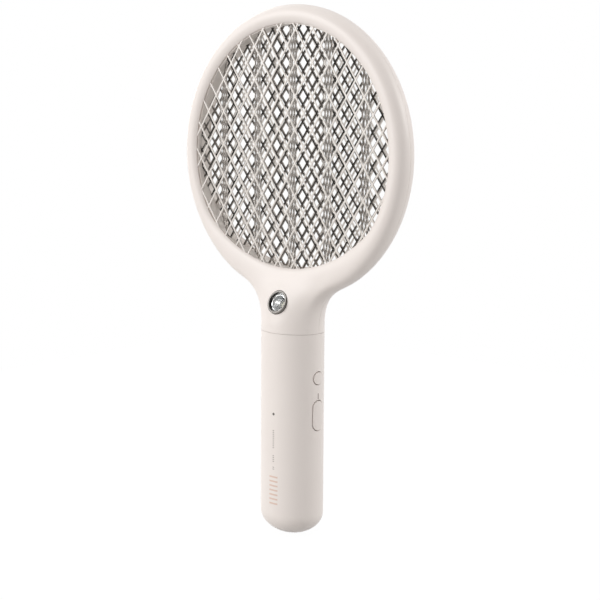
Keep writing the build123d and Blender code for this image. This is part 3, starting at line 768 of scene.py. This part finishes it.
net = bmesh.new()
net.from_mesh(nodes["hv_grid"].data)
bmesh.ops.remove_doubles(net, verts=net.verts, dist=WELD)
free = [v for v in net.verts if in_opening(v)]
off_middle = [abs(v.co.y - pleat_middle(v.co.x)) for v in free]
for v in free:
    middle = pleat_middle(v.co.x)
    v.co.y = middle + (v.co.y - middle) * STRAND_DEEPENING
show("pleated_grid", mesh_of(net), "grid_steel", ["hv_grid"])
print("grid strands:", round(2 * max(off_middle) / MM, 2), "mm deep before,",
      round(2 * max(off_middle) * STRAND_DEEPENING / MM, 2), "after")

# %% [markdown]
# ## Prints on the handle
#
# A pad print is a film of ink a few hundredths of a millimetre thick. It lies on the curve of the
# handle, so each mark is a thin strip that is bent onto the oval and then given the ink's
# thickness. The marks are plain: a stack of rose bars low on the front, fine ticks above it, and
# one tick between the buttons.

# %% Print plain bars and ticks
ink = 0.03 * MM
rose_bar = (6.2 * MM, 0.9 * MM)  # width and height
grey_tick = (1.1 * MM, 0.45 * MM)
button_tick = (0.9 * MM, 3.4 * MM)


def strip_on_handle(bm, turn_degrees, middle_z, size):
    """One printed strip. The turn is round the oval, from the front towards the buttons."""
    width, height = size
    made = bmesh.ops.create_grid(bm, x_segments=8, y_segments=1, size=0.5)["verts"]
    for v in made:
        turn = radians(turn_degrees)
        spread = width / hypot(handle_half_width * cos(turn), handle_half_depth * sin(turn))
        turn += v.co.x * spread
        v.co = ((handle_half_width + ink) * sin(turn), -(handle_half_depth + ink) * cos(turn),
                middle_z + v.co.y * height)


def printed(name, finish, strips):
    """One set of strips, each given as its turn, its height and its size, as one piece."""
    bm = bmesh.new()
    for turn_degrees, middle_z, size in strips:
        strip_on_handle(bm, turn_degrees, middle_z, size)
    bmesh.ops.recalc_face_normals(bm, faces=bm.faces)
    film = finished(mesh_of(bm), ("SOLIDIFY", {"thickness": ink, "offset": -1.0}))
    show(name, smooth_shaded(film, 40), finish)


FRONT, BUTTON_SIDE = 0.0, 90.0
bar_foot, bar_pitch, bar_count = 19.8, 2.6, 7  # the first two in mm
bars = [(FRONT, (bar_foot + bar_pitch * index) * MM, rose_bar) for index in range(bar_count)]
printed("rose_bars", "rose_print", bars)
tick_pitch = 1.1  # in mm
tick_groups = ((40.0, 2), (44.5, 4), (52.5, 10))  # lowest tick in mm, and how many
ticks = [(FRONT, (low + tick_pitch * index) * MM, grey_tick)
         for low, count in tick_groups for index in range(count)]
between_buttons = 82.6 * MM
ticks.append((BUTTON_SIDE, between_buttons, button_tick))
printed("grey_ticks", "grey_print", ticks)
print(len(bars), "bars and", len(ticks), "ticks")

# %% [markdown]
# ## Camera
#
# The camera looks from the right and a little above, from arm's length, with a short telephoto
# lens that keeps the hoop from bulging. Its place is worked out from a distance and two angles.

# %% Camera
view_turn = radians(41.36)
view_rise = radians(8.63)
view_roll = 0.0064  # in radians
view_distance = 0.816
view_right = Vector((cos(view_turn), sin(view_turn), 0))
view_back = Vector((sin(view_turn) * cos(view_rise), -cos(view_turn) * cos(view_rise),
                    sin(view_rise)))
view_up = view_back.cross(view_right)
aim = Vector((0, 0, 0.1355)) + view_right * 4.02 * MM

lens = bpy.data.cameras.new("camera")
lens.lens = 86.35
lens.sensor_width = 36.0
camera = bpy.data.objects.new("camera", lens)
axes = Matrix((view_right, view_up, view_back)).transposed()
camera.matrix_world = (Matrix.Translation(aim + view_back * view_distance)
                       @ axes.to_4x4() @ Matrix.Rotation(view_roll, 4, "Z"))
bpy.context.scene.collection.objects.link(camera)
bpy.context.scene.camera = camera
print("camera at", [round(c, 3) for c in camera.matrix_world.translation])

# %% [markdown]
# ## Light
#
# Pale plastic is shot in a white room: one broad soft lamp from the left, a weaker one on the
# right, a third behind for the back, and a level of light from everywhere. The lamps stand far
# off, so that the hoop and the handle are lit alike. The world looks white to the camera and
# through the lens, and shines more gently on the plastic. In metal the room mirrors as white with
# one dark wall, on the side that the front three quarter view is taken from: that dark wall is
# what draws the strands of a bare steel grid.

# %% Lamps and world
LAMP_DISTANCE = 2.4


def soft_lamp(name, direction, size, power):
    """A round lamp that faces the swatter. The size is in metres and the power in watts."""
    lamp = bpy.data.lights.new(name, "AREA")
    lamp.shape = "DISK"
    lamp.size = size
    lamp.energy = power
    stand = bpy.data.objects.new(name, lamp)
    place = aim + direction.normalized() * LAMP_DISTANCE
    facing = direction.to_track_quat("Z", "Y").to_matrix().to_4x4()
    stand.matrix_world = Matrix.Translation(place) @ facing
    bpy.context.scene.collection.objects.link(stand)


soft_lamp("key", view_back * 0.25 - view_right + Vector((0, 0, 0.3)), size=1.66, power=29.5)
soft_lamp("edge", view_right + view_back * 0.1 + Vector((0, 0, 0.5)), size=1.2, power=17.0)
soft_lamp("back", -view_back - view_right * 0.5 + Vector((0, 0, 0.5)), size=1.6, power=14.0)

ROOM_LEVEL = 0.63
DARK_WALL = 0.06
WALL_EDGE = 0.3  # a ray that points this far towards the wall, of 1, mirrors it at its darkest
dark_side = Vector((sin(view_turn), -cos(view_turn), 0))
world = bpy.data.worlds.new("white_room")
bpy.context.scene.world = world
world.use_nodes = True
tree = world.node_tree
tree.nodes.clear()
ray = add(tree, "ShaderNodeLightPath").outputs
seen = add(tree, "ShaderNodeMath", {0: ray["Is Camera Ray"], 1: ray["Is Transmission Ray"]},
           operation="MAXIMUM")
room = add(tree, "ShaderNodeBackground", {"Color": linear("#FBFAFA"), "Strength": ROOM_LEVEL})
white = add(tree, "ShaderNodeBackground", {"Color": linear("#FFFFFF"), "Strength": 1.0})
sky = add(tree, "ShaderNodeMixShader",
          {0: seen.outputs[0], 1: room.outputs[0], 2: white.outputs[0]})
towards = add(tree, "ShaderNodeTexCoord").outputs["Generated"]
facing = add(tree, "ShaderNodeVectorMath", {0: towards, 1: dark_side}, operation="DOT_PRODUCT")
shade = add(tree, "ShaderNodeMapRange",
            {"Value": facing.outputs["Value"], "From Min": 0.0, "From Max": WALL_EDGE,
             "To Min": 1.0, "To Max": DARK_WALL})
mirrored = add(tree, "ShaderNodeBackground",
               {"Color": linear("#FFFFFF"), "Strength": shade.outputs[0]})
sky = add(tree, "ShaderNodeMixShader",
          {0: ray["Is Glossy Ray"], 1: sky.outputs[0], 2: mirrored.outputs[0]})
add(tree, "ShaderNodeOutputWorld", {"Surface": sky.outputs[0]})

# %% [markdown]
# ## Floor
#
# The swatter's domed end rests on a plain white sweep. The sweep is part paper and part light:
# enough glow to read as white, and enough paper to hold a faint shadow where the handle stands.

# %% Floor
FLOOR_HALF = 0.5
FLOOR_DROP = 0.1 * MM  # a hair of air under the handle's end
GLOW_SHARE = 0.93
GLOW_LEVEL = 1.05
sheet = bmesh.new()
bmesh.ops.create_grid(sheet, x_segments=1, y_segments=1, size=FLOOR_HALF)
bmesh.ops.translate(sheet, verts=sheet.verts, vec=(0, 0, cad_box[0][2] - FLOOR_DROP))
floor_mesh = mesh_of(sheet, "floor")
paper, tree = new_material("white_paper_sweep")[:2]
ray = add(tree, "ShaderNodeLightPath").outputs
seen = add(tree, "ShaderNodeMath", {0: ray["Is Camera Ray"], 1: ray["Is Glossy Ray"]},
           operation="MAXIMUM")
seen = add(tree, "ShaderNodeMath", {0: seen.outputs[0], 1: ray["Is Transmission Ray"]},
           operation="MAXIMUM")
glow_share = add(tree, "ShaderNodeMath", {0: seen.outputs[0], 1: GLOW_SHARE}, operation="MULTIPLY")
matt = add(tree, "ShaderNodeBsdfDiffuse", {"Color": linear("#BDBCBB")})
glow = add(tree, "ShaderNodeEmission", {"Color": linear("#FFFFFF"), "Strength": GLOW_LEVEL})
mixed = add(tree, "ShaderNodeMixShader",
            {0: glow_share.outputs[0], 1: matt.outputs[0], 2: glow.outputs[0]})
close_with(paper, tree, mixed)
floor_mesh.materials.append(paper)
floor = bpy.data.objects.new("floor", floor_mesh)
bpy.context.scene.collection.objects.link(floor)

bpy.context.scene.view_settings.view_transform = "Standard"
